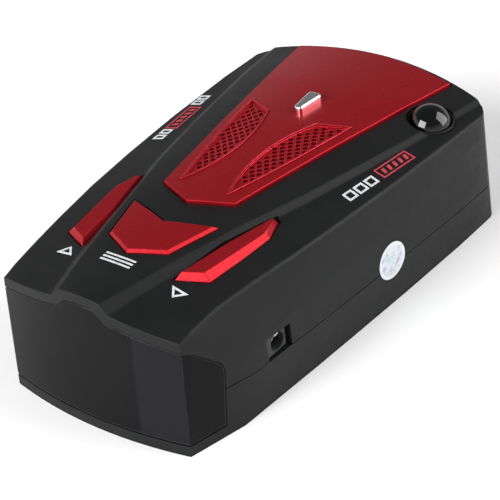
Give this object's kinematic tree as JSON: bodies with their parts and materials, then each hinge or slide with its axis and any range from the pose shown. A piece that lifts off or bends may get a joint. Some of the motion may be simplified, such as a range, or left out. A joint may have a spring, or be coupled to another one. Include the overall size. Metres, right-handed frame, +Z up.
{
  "type": "radar detector",
  "caption": "Low dashboard radar detector with a wrap-round display window, press keys, a raised centre panel with loudspeaker grilles, a side power socket and a small sensor dome.",
  "frame": {"origin": "middle of the bounding box's underside, on the flat base", "axes": "+Z up off the flat base; +Y along the length, from the display end to the far (windscreen) end; +X to the side with the power socket and the sensor dome"},
  "size_m": [0.0632, 0.1076, 0.034],
  "materials": {
    "soft_black": "fine soft-touch matt",
    "smoked_window": "polished, smoked",
    "metallic_red": "satin metallic lacquer",
    "chromed": "polished",
    "white_plastic": "plain",
    "switch_black": "plain",
    "gloss_black": "polished",
    "circuit_green": "solder-resist gloss",
    "lens_clear": "clear",
    "contact_metal": "plated",
    "bright_metal": "plain",
    "cast_metal": "as cast",
    "magnet_grey": "ground",
    "cone_paper": "fibrous",
    "seal_paper": "printed foil",
    "white_print": "printed",
    "red_print": "printed"
  },
  "bodies": {
    "housing": {"top_cover": "soft_black", "bottom_cover": "soft_black", "display_window": "smoked_window", "laser_window": "smoked_window", "red_panel": "metallic_red", "grille_right": "metallic_red", "grille_left": "metallic_red", "chrome_bar": "chromed", "tactile_switches": "switch_black", "dome_ring": "soft_black", "sensor_dome": "gloss_black", "sensor_board": "circuit_green", "dome_sensor": "gloss_black", "laser_sensor": "switch_black", "laser_lens": "lens_clear", "power_jack": "switch_black", "jack_pin": "contact_metal", "jack_spring": "contact_metal", "main_board": "circuit_green", "display_board": "circuit_green", "led_display": "switch_black", "board_header": "switch_black", "main_chip": "switch_black", "capacitors": "bright_metal", "rf_shield": "bright_metal", "horn_antenna": "cast_metal", "speaker_basket": "bright_metal", "speaker_magnet": "magnet_grey", "case_screws": "bright_metal", "board_screws": "bright_metal", "seal_sticker": "seal_paper", "key_marks": "white_print", "white_marks": "white_print", "red_marks": "red_print"},
    "up_button": {"up_key": "metallic_red", "up_plunger": "white_plastic"},
    "menu_button": {"menu_key": "metallic_red", "menu_plunger": "white_plastic"},
    "down_button": {"down_key": "metallic_red", "down_plunger": "white_plastic"},
    "loudspeaker_cone": {"speaker_cone": "cone_paper"}
  },
  "joints": [
    {"name": "up_press", "type": "slide", "parent": "housing", "child": "up_button", "axis": [0, 0, -1], "range_m": [0, 0.0006], "stiffness_N_per_m": 1500, "springref_m": -0.0002},
    {"name": "menu_press", "type": "slide", "parent": "housing", "child": "menu_button", "axis": [0, 0, -1], "range_m": [0, 0.0006], "stiffness_N_per_m": 1500, "springref_m": -0.0002},
    {"name": "down_press", "type": "slide", "parent": "housing", "child": "down_button", "axis": [0, 0, -1], "range_m": [0, 0.0006], "stiffness_N_per_m": 1500, "springref_m": -0.0002},
    {"name": "cone_travel", "type": "slide", "parent": "housing", "child": "loudspeaker_cone", "axis": [0, 0, 1], "range_m": [-0.0003, 0.0003], "stiffness_N_per_m": 1500}
  ]
}
